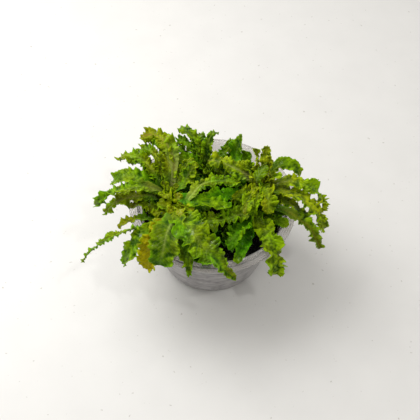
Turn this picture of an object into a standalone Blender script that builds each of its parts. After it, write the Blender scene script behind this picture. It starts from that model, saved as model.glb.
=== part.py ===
"""A pogostemon: five plants with crinkled strap leaves, rooted in dark substrate in a clear plastic tub."""

import math

import bmesh
import bpy
from mathutils import Vector

MM = 0.001
GAP = 0.3

# The tub, in millimetres
TUB_BASE_RADIUS = 36.8
TUB_RIM_RADIUS = 58.5
TUB_MOUTH_RADIUS = 53.4
TUB_HEIGHT = 63.6
TUB_WALL = 0.6
FOOT_HEIGHT = 1.0
FOOT_INSET = 1.2
MOUTH_ROUND = 0.5
FLANGE_DROP = 3.0
LIP_DEPTH = 1.8
TUB_SIDES = 48

# The wrap round the tapered wall
WRAP_BOTTOM = 4.0
WRAP_TOP = 50.0
WRAP_THICKNESS = 0.4

# The substrate
SOIL_TOP = 44.0
SOIL_FOOT_INSET = 2.5
SOIL_EDGE_INSET = 0.5
SOIL_LUMP = 0.8
SOIL_SIDES = 24
SOIL_RINGS = 5

# The crown stems: place on the substrate and height of the top, in millimetres
STEM_RADIUS = 2.6
STEM_SIDES = 8
STEM_ROOT = 4.0
STEM_TAPER = 0.7
STEMS = {
    "left": (-22, -16, 70),
    "rear_left": (-30, 1, 68),
    "rear": (-4, 25, 64),
    "right": (34, 9, 71),
    "front": (26, -5, 64),
}

# A leaf's blade: shares are of the leaf's length, and its margins are toothed and ruffled
LEAF_THICKNESS = 0.8
LEAF_STATIONS = 13
PETIOLE_SHARE = 0.22
PETIOLE_END = 0.08
OPENING = 0.4
TIP_START = 0.8
TIP_LENGTH = 0.22
TIP_FLOOR = 0.06
CHANNEL_DEG = 12
TOOTH = 0.12
RUFFLE = 0.7

# Each leaf of each crown. Place words, then: height on the stem, heading where it leaves the stem,
# swing of the heading along its length, rise at the stem, rise at the tip, how late it bends,
# length, width and roll about the midrib. Lengths are in millimetres and angles in degrees.
LEAVES = {
    "left": [
        ("over_front", 66, -105, 2, 60, -76, 1.1, 53, 17, 0),
        ("yellow", 62, -119, 4, 62, -75, 0.9, 55, 14, 0),
        ("long_front", 69, -84, 64, 67, -48, 0.6, 77, 15, 0),
        ("under_front", 56, -82, 2, 62, -72, 1.2, 57, 10, 0),
        ("edge_on", 49, -154, 0, 46, -64, 1.3, 82, 7, 40),
        ("curled", 52, -139, 4, 50, -95, 1.6, 62, 9, 0),
        ("ribbed", 65, 45, -40, 80, -50, 0.9, 54, 12, 0),
        ("lobe", 65, 168, 10, 64, -20, 1.2, 17, 9, 0),
        ("inner", 52, 0, -70, 20, -5, 0.8, 39, 8, 0),
        ("young_a", 67, -20, 0, 80, 20, 1.0, 14, 6, 0),
        ("young_b", 66, 100, 0, 80, 20, 1.0, 14, 6, 0),
        ("young_c", 67, -150, 0, 76, 30, 1.0, 13, 6, 0),
        ("olive", 57, -172, 2, 38, -36, 1.0, 44, 8, 0),
    ],
    "rear_left": [
        ("brown_rib", 56, -156, -16, 66, -75, 1.1, 57, 12, 0),
        ("serrated", 64, -161, -14, 70, -70, 0.9, 64, 10, 0),
        ("smooth", 58, 160, 16, 66, -72, 1.2, 53, 10, 0),
        ("narrow", 54, 126, 30, 70, -75, 1.3, 64, 9, 0),
        ("far", 62, 60, 115, 81, -50, 0.9, 67, 18, 0),
        ("upright", 67, 8, 50, 55, 35, 1.0, 29, 9, 0),
        ("young_a", 60, -50, 0, 78, 10, 1.0, 14, 6, 0),
        ("inner", 57, 20, 10, 66, -10, 1.0, 30, 8, 0),
        ("young_b", 67, -105, 0, 70, 10, 1.0, 15, 8, 0),
    ],
    "rear": [
        ("loop", 56, 130, 0, 77, -80, 2.1, 50, 8, 0),
        ("hook", 60, 98, -40, 84, -110, 3.2, 39, 6, 0),
        ("two_lobed", 52, 11, 0, 35, 85, 0.6, 50, 14, 0),
        ("low_back", 52, 95, 20, 50, -10, 1.1, 36, 9, 0),
        ("low_left", 53, 150, 0, 65, -30, 0.9, 52, 9, 0),
        ("low_inner", 50, -60, 0, 40, -20, 1.0, 26, 8, 0),
        ("young_a", 62, -40, 0, 80, 20, 1.0, 16, 6, 0),
        ("fan", 61, -175, 0, 75, -40, 1.2, 34, 9, 0),
        ("right", 56, -36, 10, 55, -25, 1.0, 34, 10, 0),
    ],
    "right": [
        ("hanging", 67, -82, 0, 75, -50, 0.9, 35, 10, 0),
        ("broad", 60, -34, 0, 60, -76, 1.0, 64, 12, 0),
        ("hooked", 64, -15, -12, 58, -112, 1.3, 64, 9, 0),
        ("arch", 57, 72, -122, 62, -108, 2.0, 47, 9, 0),
        ("short", 70, -34, 20, 78, 20, 1.0, 20, 6, 0),
        ("upright_a", 67, 130, 25, 80, 78, 1.0, 33, 7, 0),
        ("upright_b", 67, 45, 10, 82, 80, 1.0, 27, 6, 0),
        ("bright", 60, -140, 0, 72, -65, 1.3, 33, 7, 0),
        ("across", 64, 168, -14, 76, -25, 0.7, 46, 13, 0),
        ("crossing", 57, -166, 32, 36, -2, 0.55, 55, 12, 0),
        ("young_a", 69, -175, 0, 75, 20, 1.0, 12, 5, 0),
        ("low_back", 58, 120, 0, 60, -40, 1.0, 28, 9, 0),
    ],
    "front": [
        ("dark", 57, -18, -34, 52, -58, 0.95, 65, 8, 0),
        ("tipped", 49, -28, 14, 62, 0, 1.0, 30, 9, 0),
        ("over_rim", 53, -66, -8, 46, -92, 1.3, 62, 13, 0),
        ("frilly", 54, -110, 3, 52, -18, 0.9, 46, 9, 0),
        ("smooth", 49, -92, -20, 49, -16, 0.9, 53, 9, 0),
        ("brown_rib", 64, -115, 20, 82, -70, 1.8, 27, 8, 0),
        ("crinkled", 60, -104, -110, 54, -32, 0.8, 48, 11, 0),
    ],
}

LEAF_COLOURS = {
    "left": (0.13, 0.26, 0.02),
    "rear_left": (0.17, 0.26, 0.02),
    "rear": (0.09, 0.22, 0.02),
    "right": (0.20, 0.29, 0.02),
    "front": (0.12, 0.24, 0.02),
}


def clear_scene():
    for thing in list(bpy.data.objects):
        bpy.data.objects.remove(thing, do_unlink=True)


def material(name, colour, roughness, alpha=1.0):
    made = bpy.data.materials.new(name)
    made.use_nodes = True
    surface = made.node_tree.nodes["Principled BSDF"]
    surface.inputs["Base Color"].default_value = (*colour, 1)
    surface.inputs["Roughness"].default_value = roughness
    surface.inputs["Metallic"].default_value = 0.0
    surface.inputs["Alpha"].default_value = alpha
    return made


def object_from(name, mesh_data, finish):
    """Closes off a bmesh as an object with outward faces and one finish."""
    bmesh.ops.recalc_face_normals(mesh_data, faces=mesh_data.faces)
    mesh = bpy.data.meshes.new(name)
    mesh_data.to_mesh(mesh)
    mesh_data.free()
    mesh.materials.append(finish)
    thing = bpy.data.objects.new(name, mesh)
    bpy.context.scene.collection.objects.link(thing)
    return thing


def turned(name, profile, sides, finish):
    """Turns a closed (radius, height) profile, in millimetres, round the Z axis."""
    shape = bmesh.new()
    points = [shape.verts.new((radius * MM, 0, height * MM)) for radius, height in profile]
    edges = [shape.edges.new((points[i - 1], points[i])) for i in range(len(points))]
    bmesh.ops.spin(
        shape,
        geom=points + edges,
        cent=(0, 0, 0),
        axis=(0, 0, 1),
        angle=math.tau,
        steps=sides,
        use_merge=True,
    )
    bmesh.ops.remove_doubles(shape, verts=shape.verts, dist=1e-6)
    return object_from(name, shape, finish)


def wall_radius(height):
    """Outer radius of the tapered wall at a height."""
    share = height / (TUB_HEIGHT - FOOT_HEIGHT)
    top_radius = TUB_MOUTH_RADIUS - MOUTH_ROUND
    return TUB_BASE_RADIUS + (top_radius - TUB_BASE_RADIUS) * share


def make_tub(finish):
    rim_top = TUB_HEIGHT - FLANGE_DROP
    wall_top = TUB_HEIGHT - FOOT_HEIGHT
    profile = [
        (0, 0),
        (TUB_BASE_RADIUS - FOOT_INSET, 0),
        (wall_radius(FOOT_HEIGHT), FOOT_HEIGHT),
        (wall_radius(wall_top), wall_top),
        (TUB_RIM_RADIUS - TUB_WALL, rim_top - TUB_WALL),
        (TUB_RIM_RADIUS - TUB_WALL, rim_top - LIP_DEPTH),
        (TUB_RIM_RADIUS, rim_top - LIP_DEPTH),
        (TUB_RIM_RADIUS, rim_top),
        (TUB_MOUTH_RADIUS, TUB_HEIGHT),
        (wall_radius(wall_top) - TUB_WALL, TUB_HEIGHT - TUB_WALL),
        (wall_radius(FOOT_HEIGHT + TUB_WALL) - TUB_WALL, FOOT_HEIGHT + TUB_WALL),
        (TUB_BASE_RADIUS - FOOT_INSET - TUB_WALL, TUB_WALL),
        (0, TUB_WALL),
    ]
    return turned("tub", profile, TUB_SIDES, finish)


def make_wrap(finish):
    inner_low = wall_radius(WRAP_BOTTOM) + GAP
    inner_high = wall_radius(WRAP_TOP) + GAP
    profile = [
        (inner_low, WRAP_BOTTOM),
        (inner_low + WRAP_THICKNESS, WRAP_BOTTOM),
        (inner_high + WRAP_THICKNESS, WRAP_TOP),
        (inner_high, WRAP_TOP),
    ]
    return turned("wrap", profile, TUB_SIDES, finish)


def soil_height(x, y):
    """Height of the lumpy top of the substrate."""
    lumps = math.sin(x * 0.31 + 1.1) * math.cos(y * 0.27 - 0.4) + 0.6 * math.sin(x * 0.13 - y * 0.19)
    return SOIL_TOP + SOIL_LUMP * lumps


def make_soil(finish):
    """A plug that fills the tub to SOIL_TOP, with a planting hole for each stem."""
    shape = bmesh.new()
    floor_height = TUB_WALL + GAP
    floor_radius = TUB_BASE_RADIUS - SOIL_FOOT_INSET
    top_radius = wall_radius(SOIL_TOP) - TUB_WALL - GAP - SOIL_EDGE_INSET
    centre = shape.verts.new((0, 0, soil_height(0, 0) * MM))
    rings = []
    for ring in range(1, SOIL_RINGS + 1):
        radius = top_radius * ring / SOIL_RINGS
        row = []
        for side in range(SOIL_SIDES):
            angle = math.tau * side / SOIL_SIDES
            x, y = radius * math.cos(angle), radius * math.sin(angle)
            row.append(shape.verts.new((x * MM, y * MM, soil_height(x, y) * MM)))
        rings.append(row)
    bottom = []
    for side in range(SOIL_SIDES):
        angle = math.tau * side / SOIL_SIDES
        x, y = floor_radius * math.cos(angle), floor_radius * math.sin(angle)
        bottom.append(shape.verts.new((x * MM, y * MM, floor_height * MM)))
    rings.append(bottom)
    for side in range(SOIL_SIDES):
        after = (side + 1) % SOIL_SIDES
        shape.faces.new((centre, rings[0][side], rings[0][after]))
        for inner, outer in zip(rings, rings[1:]):
            shape.faces.new((inner[side], outer[side], outer[after], inner[after]))
    shape.faces.new(bottom)
    soil = object_from("soil", shape, finish)
    for crown, (x, y, _) in STEMS.items():
        hole_bottom = SOIL_TOP - STEM_ROOT - GAP
        hole_top = SOIL_TOP + STEM_ROOT
        hole = cylinder(f"hole_{crown}", x, y, hole_bottom, hole_top, STEM_RADIUS + GAP, finish)
        hole.hide_render = True
        hole.display_type = "WIRE"
        cut = soil.modifiers.new(f"hole_{crown}", "BOOLEAN")
        cut.operation = "DIFFERENCE"
        cut.object = hole
    return soil


def cylinder(name, x, y, bottom, top, radius, finish):
    shape = bmesh.new()
    bmesh.ops.create_cone(
        shape,
        cap_ends=True,
        segments=STEM_SIDES,
        radius1=radius * MM,
        radius2=radius * MM,
        depth=(top - bottom) * MM,
    )
    bmesh.ops.translate(shape, verts=shape.verts, vec=(x * MM, y * MM, (top + bottom) / 2 * MM))
    return object_from(name, shape, finish)


def make_stem(crown, finish):
    """An upright stem, a little narrower at its top, with its foot in its planting hole."""
    x, y, top = STEMS[crown]
    stem = cylinder(f"stem_{crown}", x, y, SOIL_TOP - STEM_ROOT, top, STEM_RADIUS, finish)
    for vertex in stem.data.vertices:
        if vertex.co.z > SOIL_TOP * MM:
            vertex.co.x = x * MM + (vertex.co.x - x * MM) * STEM_TAPER
            vertex.co.y = y * MM + (vertex.co.y - y * MM) * STEM_TAPER
    return stem


def leaf_frames(crown, on_stem, heading, swing, rise, end, bend, length, roll):
    """Points down the midrib in millimetres, each with the blade's side and normal directions."""
    x, y, _ = STEMS[crown]
    start = Vector((math.cos(math.radians(heading)), math.sin(math.radians(heading)), 0))
    point = Vector((x, y, on_stem)) + start * (STEM_RADIUS + GAP)
    frames = []
    step = length / (LEAF_STATIONS - 1)
    for station in range(LEAF_STATIONS):
        share = station / (LEAF_STATIONS - 1)
        turn = math.radians(heading + swing * share)
        pitch = math.radians(rise + (end - rise) * share**bend)
        along = Vector((math.cos(pitch) * math.cos(turn), math.cos(pitch) * math.sin(turn), math.sin(pitch)))
        level = Vector((-math.sin(turn), math.cos(turn), 0))
        up = along.cross(level)
        side = level * math.cos(math.radians(roll)) + up * math.sin(math.radians(roll))
        frames.append((point.copy(), side, along.cross(side)))
        point += along * step
    return frames


def half_width(share, width):
    """Half the blade's width at a share of the leaf's length: a narrow stalk, a strap and a round tip."""
    opening = min(max((share - PETIOLE_END) / OPENING, 0), 1)
    opening = opening * opening * (3 - 2 * opening)
    stalk = PETIOLE_SHARE + (1 - PETIOLE_SHARE) * opening
    tip = math.sqrt(max(1 - (max(share - TIP_START, 0) / TIP_LENGTH) ** 2, TIP_FLOOR))
    return width / 2 * stalk * tip


def make_leaf(name, crown, values, finish):
    """A thin closed blade, folded a little along its midrib, with toothed and ruffled margins."""
    on_stem, heading, swing, rise, end, bend, length, width, roll = values
    frames = leaf_frames(crown, on_stem, heading, swing, rise, end, bend, length, roll)
    shape = bmesh.new()
    upper, lower = [], []
    for station, (point, side, normal) in enumerate(frames):
        share = station / (LEAF_STATIONS - 1)
        half = half_width(share, width)
        wave = 1 if station % 2 else -1
        frill = min(share / OPENING, 1) * wave
        reach = half * (1 + TOOTH * frill)
        fold = math.tan(math.radians(CHANNEL_DEG)) * half
        over, under = [], []
        for across in (-1, 0, 1):
            lift = abs(across) * (fold + RUFFLE * frill * across)
            place = point + side * (across * reach) + normal * lift
            over.append(shape.verts.new(place * MM))
            under.append(shape.verts.new((place - normal * LEAF_THICKNESS) * MM))
        upper.append(over)
        lower.append(under)
    for station in range(LEAF_STATIONS - 1):
        for column in (0, 1):
            for rows in (upper, lower):
                here, there = rows[station], rows[station + 1]
                shape.faces.new((here[column], here[column + 1], there[column + 1], there[column]))
        for column in (0, 2):
            shape.faces.new(
                (
                    upper[station][column],
                    upper[station + 1][column],
                    lower[station + 1][column],
                    lower[station][column],
                )
            )
    for station in (0, LEAF_STATIONS - 1):
        for column in (0, 1):
            shape.faces.new(
                (
                    upper[station][column],
                    upper[station][column + 1],
                    lower[station][column + 1],
                    lower[station][column],
                )
            )
    return object_from(name, shape, finish)


def main():
    clear_scene()
    make_tub(material("clear_plastic", (0.80, 0.79, 0.75), 0.12, alpha=0.35))
    make_wrap(material("wrap_film", (0.30, 0.29, 0.27), 0.4))
    make_soil(material("substrate", (0.012, 0.011, 0.009), 0.9))
    stem_finish = material("stem_green", (0.10, 0.16, 0.03), 0.5)
    for crown in STEMS:
        make_stem(crown, stem_finish)
        leaf_finish = material(f"leaf_{crown}", LEAF_COLOURS[crown], 0.4)
        for place, *values in LEAVES[crown]:
            make_leaf(f"leaf_{crown}_{place}", crown, values, leaf_finish)


main()
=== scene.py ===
"""Dresses the pogostemon: five whorls of crinkled, toothed leaves in a clear tub of dark substrate."""

import math
import random

import bmesh
import bpy
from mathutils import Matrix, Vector, noise


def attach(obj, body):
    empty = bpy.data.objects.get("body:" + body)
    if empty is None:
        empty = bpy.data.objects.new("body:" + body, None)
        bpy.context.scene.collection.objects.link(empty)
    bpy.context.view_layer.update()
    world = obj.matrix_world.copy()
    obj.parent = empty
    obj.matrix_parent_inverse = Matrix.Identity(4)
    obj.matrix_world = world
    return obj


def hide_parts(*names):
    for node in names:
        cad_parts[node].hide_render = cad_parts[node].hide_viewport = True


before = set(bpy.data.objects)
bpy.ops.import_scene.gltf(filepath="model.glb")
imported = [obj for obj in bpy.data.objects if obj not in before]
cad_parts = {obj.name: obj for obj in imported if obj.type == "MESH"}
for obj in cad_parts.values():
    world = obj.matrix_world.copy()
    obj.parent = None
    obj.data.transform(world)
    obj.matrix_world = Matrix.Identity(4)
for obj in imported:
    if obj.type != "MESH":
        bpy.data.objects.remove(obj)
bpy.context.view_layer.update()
bpy.ops.object.select_all(action="DESELECT")


# The counter, the light and the camera.
# A pale counter top carries the tub. Soft light comes from the upper left, and the camera looks
# down on the plant from the front at the photograph's angle.
MM = 0.001  # sizes are in millimetres, and MM turns them to metres
COUNTER_COLOUR = (0.735, 0.72, 0.69, 1)
CAMERA_TARGET = Vector((-1.8, 0, 50)) * MM
CAMERA_DISTANCE = 0.557
CAMERA_ELEVATION = math.radians(53)
CAMERA_ROLL = math.radians(1.1)
CAMERA_FIELD = math.radians(30)

bpy.ops.mesh.primitive_plane_add(size=4, location=(0, 0, 0))
counter = bpy.context.object
counter.name = "counter_top"
counter_finish = bpy.data.materials.new("pale_counter")
counter_finish.use_nodes = True
counter_nodes = counter_finish.node_tree.nodes
counter_links = counter_finish.node_tree.links
counter_surface = counter_nodes["Principled BSDF"]
counter_surface.inputs["Roughness"].default_value = 0.5
counter_place = counter_nodes.new("ShaderNodeTexCoord")
counter_cloud = counter_nodes.new("ShaderNodeTexNoise")
counter_cloud.inputs["Scale"].default_value = 35
counter_cloud.inputs["Detail"].default_value = 4
counter_ramp = counter_nodes.new("ShaderNodeValToRGB")
counter_ramp.color_ramp.elements[0].position = 0.3
counter_ramp.color_ramp.elements[0].color = [0.965 * value for value in COUNTER_COLOUR[:3]] + [1]
counter_ramp.color_ramp.elements[1].position = 0.7
counter_ramp.color_ramp.elements[1].color = COUNTER_COLOUR
counter_links.new(counter_place.outputs["Object"], counter_cloud.inputs["Vector"])
counter_links.new(counter_cloud.outputs["Fac"], counter_ramp.inputs["Fac"])
counter_speck = counter_nodes.new("ShaderNodeTexNoise")
counter_speck.inputs["Scale"].default_value = 260
counter_speck.inputs["Detail"].default_value = 2
counter_speck_share = counter_nodes.new("ShaderNodeValToRGB")
counter_speck_share.color_ramp.elements[0].position = 0.70
counter_speck_share.color_ramp.elements[0].color = (1, 1, 1, 1)
counter_speck_share.color_ramp.elements[1].position = 0.76
counter_speck_share.color_ramp.elements[1].color = (0.72, 0.70, 0.67, 1)
counter_mix = counter_nodes.new("ShaderNodeMixRGB")
counter_mix.blend_type = "MULTIPLY"
counter_mix.inputs["Fac"].default_value = 1
counter_links.new(counter_place.outputs["Object"], counter_speck.inputs["Vector"])
counter_links.new(counter_speck.outputs["Fac"], counter_speck_share.inputs["Fac"])
counter_links.new(counter_ramp.outputs["Color"], counter_mix.inputs["Color1"])
counter_links.new(counter_speck_share.outputs["Color"], counter_mix.inputs["Color2"])
counter_links.new(counter_mix.outputs["Color"], counter_surface.inputs["Base Color"])
counter.data.materials.append(counter_finish)

room = bpy.data.worlds.new("pale_room")
room.use_nodes = True
room.node_tree.nodes["Background"].inputs["Color"].default_value = (1.0, 0.99, 0.97, 1)
room.node_tree.nodes["Background"].inputs["Strength"].default_value = 0.60
bpy.context.scene.world = room


def hang_light(name, place, size, power):
    """A square soft light that faces the plant."""
    bpy.ops.object.light_add(type="AREA", location=place)
    lamp = bpy.context.object
    lamp.name = name
    lamp.data.size = size
    lamp.data.energy = power
    lamp.rotation_euler = (Vector((0, 0, 0.05)) - Vector(place)).to_track_quat("-Z", "Y").to_euler()


hang_light("window_light", place=(-0.34, 0.20, 0.52), size=0.45, power=3.7)
hang_light("room_light", place=(0.35, -0.30, 0.95), size=0.05, power=1.1)

camera_back = Vector((0, -math.cos(CAMERA_ELEVATION), math.sin(CAMERA_ELEVATION)))
camera_level = Vector((1, 0, 0))
camera_up = camera_level.cross(-camera_back)
camera_right = camera_level * math.cos(CAMERA_ROLL) + camera_up * math.sin(CAMERA_ROLL)
camera_top = camera_back.cross(camera_right)
bpy.ops.object.camera_add(location=CAMERA_TARGET + camera_back * CAMERA_DISTANCE)
camera = bpy.context.object
camera.name = "photo_camera"
turned = camera.matrix_world.to_3x3()
turned.col[0], turned.col[1], turned.col[2] = camera_right, camera_top, camera_back
camera.rotation_euler = turned.to_euler()
camera.data.sensor_width = 36
camera.data.lens = 18 / math.tan(CAMERA_FIELD / 2)
camera.data.clip_start = 0.01
bpy.context.scene.camera = camera
bpy.context.scene.view_settings.view_transform = "Standard"


# The tub.
# One thin bowl of clear plastic, formed in a mould: a flat foot, a tapered wall with a stacking
# ledge, and a sloping rim flange with shallow steps and a turned-down lip.
TUB_SIDES = 128
TUB_WALL = 0.5
# Radius and height of the wall's middle, from under the foot to the lip.
TUB_PROFILE = [
    (10, 1.1),
    (30, 1.1),
    (31.5, 0.35),
    (35.4, 0.3),
    (36.4, 0.8),
    (36.9, 1.8),
    (50.2, 53.5),
    (50.9, 54.3),
    (51.1, 55.4),
    (52.7, 62.6),
    (53.0, 63.2),
    (53.6, 63.4),
    (54.4, 63.0),
    (54.7, 62.4),
    (55.8, 62.1),
    (56.1, 61.6),
    (57.1, 61.3),
    (57.4, 60.8),
    (58.0, 60.6),
    (58.3, 60.2),
    (58.3, 58.9),
]


def mould_shell(profile, sides):
    """A round shell with a closed foot, whose rings follow a list of (radius, height) in millimetres."""
    bpy.ops.mesh.primitive_cylinder_add(vertices=sides, radius=1, depth=1, location=(0, 0, 0.5))
    shell = bpy.context.object
    bpy.ops.object.transform_apply(location=True, rotation=True, scale=True)
    bpy.ops.object.mode_set(mode="EDIT")
    bpy.ops.mesh.select_all(action="DESELECT")
    shell_form = bmesh.from_edit_mesh(shell.data)
    lid = [face for face in shell_form.faces if min(vertex.co.z for vertex in face.verts) > 0.5]
    bmesh.ops.delete(shell_form, geom=lid, context="FACES_ONLY")
    upright = [edge for edge in shell_form.edges if abs(edge.verts[0].co.z - edge.verts[1].co.z) > 0.5]
    bmesh.ops.subdivide_edges(shell_form, edges=upright, cuts=len(profile) - 2, use_grid_fill=True)
    for vertex in shell_form.verts:
        radius, height = profile[round(vertex.co.z * (len(profile) - 1))]
        vertex.co = Vector((vertex.co.x * radius, vertex.co.y * radius, height)) * MM
    bmesh.update_edit_mesh(shell.data)
    bpy.ops.mesh.select_all(action="SELECT")
    bpy.ops.mesh.normals_make_consistent(inside=False)
    bpy.ops.object.mode_set(mode="OBJECT")
    return shell


def apply_all(piece):
    """Applies every modifier of a piece."""
    bpy.context.view_layer.objects.active = piece
    for modifier in list(piece.modifiers):
        bpy.ops.object.modifier_apply(modifier=modifier.name)


tub = mould_shell(TUB_PROFILE, TUB_SIDES)
tub.name = "clear_tub"
tub_wall = tub.modifiers.new("wall", "SOLIDIFY")
tub_wall.thickness = TUB_WALL * MM
tub_wall.offset = 0
apply_all(tub)
bpy.ops.object.shade_smooth_by_angle(angle=math.radians(35))

clear_plastic = bpy.data.materials.new("clear_tub_plastic")
clear_plastic.use_nodes = True
clear_surface = clear_plastic.node_tree.nodes["Principled BSDF"]
clear_surface.inputs["Base Color"].default_value = (0.80, 0.775, 0.74, 1)
clear_surface.inputs["Roughness"].default_value = 0.16
clear_surface.inputs["IOR"].default_value = 1.3
clear_surface.inputs["Transmission Weight"].default_value = 0.82
tub.data.materials.append(clear_plastic)
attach(tub, "root")
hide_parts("tub")


# The sleeve.
# A thin film wrapped round the tapered wall below the flange. It is grey, streaked along its
# length, with soft darker bars.
SLEEVE_SIDES = 128
SLEEVE_BOTTOM = 4.0
SLEEVE_TOP = 50.0
SLEEVE_GAP = 0.45
SLEEVE_FILM = 0.35
SLEEVE_CUTS = 7
SLEEVE_SWELL = 0.12

(wall_foot_radius, wall_foot), (wall_top_radius, wall_top) = TUB_PROFILE[5:7]
sleeve_slope = (wall_top_radius - wall_foot_radius) / (wall_top - wall_foot)
sleeve_foot = wall_foot_radius + sleeve_slope * (SLEEVE_BOTTOM - wall_foot) + SLEEVE_GAP
bpy.ops.mesh.primitive_cylinder_add(
    vertices=SLEEVE_SIDES,
    radius=sleeve_foot * MM,
    depth=(SLEEVE_TOP - SLEEVE_BOTTOM) * MM,
    end_fill_type="NOTHING",
    location=(0, 0, (SLEEVE_TOP + SLEEVE_BOTTOM) / 2 * MM),
)
sleeve = bpy.context.object
sleeve.name = "bare_sleeve"
bpy.ops.object.transform_apply(location=True, rotation=True, scale=True)
bpy.ops.object.mode_set(mode="EDIT")
bpy.ops.mesh.select_all(action="SELECT")
bpy.ops.mesh.subdivide(number_cuts=SLEEVE_CUTS)
bpy.ops.object.mode_set(mode="OBJECT")
for vertex in sleeve.data.vertices:
    height = vertex.co.z / MM
    angle = math.atan2(vertex.co.y, vertex.co.x)
    swell = SLEEVE_SWELL * math.sin(3 * angle + height * 0.06) * math.sin(height * 0.11)
    radius = wall_foot_radius + sleeve_slope * (height - wall_foot) + SLEEVE_GAP + swell
    vertex.co.x = radius * MM * math.cos(angle)
    vertex.co.y = radius * MM * math.sin(angle)
sleeve_film = sleeve.modifiers.new("film", "SOLIDIFY")
sleeve_film.thickness = SLEEVE_FILM * MM
sleeve_film.offset = 1
apply_all(sleeve)
bpy.ops.object.shade_smooth_by_angle(angle=math.radians(35))

film = bpy.data.materials.new("grey_sleeve_film")
film.use_nodes = True
film_nodes = film.node_tree.nodes
film_links = film.node_tree.links
film_surface = film_nodes["Principled BSDF"]
film_place = film_nodes.new("ShaderNodeTexCoord")
film_split = film_nodes.new("ShaderNodeSeparateXYZ")
film_angle = film_nodes.new("ShaderNodeMath")
film_angle.operation = "ARCTAN2"
film_join = film_nodes.new("ShaderNodeCombineXYZ")
film_streak_stretch = film_nodes.new("ShaderNodeVectorMath")
film_streak_stretch.operation = "MULTIPLY"
film_streak_stretch.inputs[1].default_value = (1.6, 260, 1)
film_streak = film_nodes.new("ShaderNodeTexNoise")
film_streak.inputs["Scale"].default_value = 1.6
film_streak.inputs["Detail"].default_value = 5
film_streak_colour = film_nodes.new("ShaderNodeValToRGB")
film_streak_colour.color_ramp.elements[0].position = 0.34
film_streak_colour.color_ramp.elements[0].color = (0.200, 0.187, 0.186, 1)
film_streak_colour.color_ramp.elements[1].position = 0.66
film_streak_colour.color_ramp.elements[1].color = (0.43, 0.41, 0.405, 1)
film_bar_stretch = film_nodes.new("ShaderNodeVectorMath")
film_bar_stretch.operation = "MULTIPLY"
film_bar_stretch.inputs[1].default_value = (9, 300, 1)
film_bar = film_nodes.new("ShaderNodeTexNoise")
film_bar.inputs["Scale"].default_value = 1.0
film_bar.inputs["Detail"].default_value = 1
film_bar_colour = film_nodes.new("ShaderNodeValToRGB")
film_bar_colour.color_ramp.elements[0].position = 0.52
film_bar_colour.color_ramp.elements[0].color = (1, 1, 1, 1)
film_bar_colour.color_ramp.elements[1].position = 0.64
film_bar_colour.color_ramp.elements[1].color = (0.62, 0.62, 0.64, 1)
film_mix = film_nodes.new("ShaderNodeMixRGB")
film_mix.blend_type = "MULTIPLY"
film_mix.inputs["Fac"].default_value = 0.8
film_links.new(film_place.outputs["Object"], film_split.inputs["Vector"])
film_links.new(film_split.outputs["Y"], film_angle.inputs[0])
film_links.new(film_split.outputs["X"], film_angle.inputs[1])
film_links.new(film_angle.outputs["Value"], film_join.inputs["X"])
film_links.new(film_split.outputs["Z"], film_join.inputs["Y"])
film_links.new(film_join.outputs["Vector"], film_streak_stretch.inputs[0])
film_links.new(film_streak_stretch.outputs["Vector"], film_streak.inputs["Vector"])
film_links.new(film_streak.outputs["Fac"], film_streak_colour.inputs["Fac"])
film_links.new(film_join.outputs["Vector"], film_bar_stretch.inputs[0])
film_links.new(film_bar_stretch.outputs["Vector"], film_bar.inputs["Vector"])
film_links.new(film_bar.outputs["Fac"], film_bar_colour.inputs["Fac"])
film_links.new(film_streak_colour.outputs["Color"], film_mix.inputs["Color1"])
film_links.new(film_bar_colour.outputs["Color"], film_mix.inputs["Color2"])
film_links.new(film_mix.outputs["Color"], film_surface.inputs["Base Color"])
film_surface.inputs["Roughness"].default_value = 0.32
sleeve.data.materials.append(film)
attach(sleeve, "root")
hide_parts("wrap")


# The substrate.
# A bed of near-black baked granules fills the tub to below its rim. The bed is the solid of the
# frame, and loose wet granules lie all over its top.
GRAIN_COUNT = 3000
GRAIN_RADIUS = 0.95
BED_TOP = 44.0
BED_RADIUS = 46.6
BED_LUMP = 0.8


def bed_height(x, y):
    """Height of the lumpy top of the bed at a place, in millimetres."""
    lumps = math.sin(x * 0.31 + 1.1) * math.cos(y * 0.27 - 0.4) + 0.6 * math.sin(x * 0.13 - y * 0.19)
    return BED_TOP + BED_LUMP * lumps


substrate_finish = bpy.data.materials.new("wet_black_granules")
substrate_finish.use_nodes = True
substrate_nodes = substrate_finish.node_tree.nodes
substrate_links = substrate_finish.node_tree.links
substrate_surface = substrate_nodes["Principled BSDF"]
substrate_place = substrate_nodes.new("ShaderNodeTexCoord")
substrate_noise = substrate_nodes.new("ShaderNodeTexNoise")
substrate_noise.inputs["Scale"].default_value = 420
substrate_noise.inputs["Detail"].default_value = 3
substrate_ramp = substrate_nodes.new("ShaderNodeValToRGB")
substrate_ramp.color_ramp.elements[0].position = 0.35
substrate_ramp.color_ramp.elements[0].color = (0.003, 0.0035, 0.0025, 1)
substrate_ramp.color_ramp.elements[1].position = 0.75
substrate_ramp.color_ramp.elements[1].color = (0.022, 0.019, 0.013, 1)
substrate_bump = substrate_nodes.new("ShaderNodeBump")
substrate_bump.inputs["Strength"].default_value = 0.5
substrate_bump.inputs["Distance"].default_value = 0.0004
substrate_links.new(substrate_place.outputs["Object"], substrate_noise.inputs["Vector"])
substrate_links.new(substrate_noise.outputs["Fac"], substrate_ramp.inputs["Fac"])
substrate_links.new(substrate_ramp.outputs["Color"], substrate_surface.inputs["Base Color"])
substrate_links.new(substrate_noise.outputs["Fac"], substrate_bump.inputs["Height"])
substrate_links.new(substrate_bump.outputs["Normal"], substrate_surface.inputs["Normal"])
substrate_surface.inputs["Roughness"].default_value = 0.55
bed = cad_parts["soil"]
bed.data.materials.clear()
bed.data.materials.append(substrate_finish)

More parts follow.
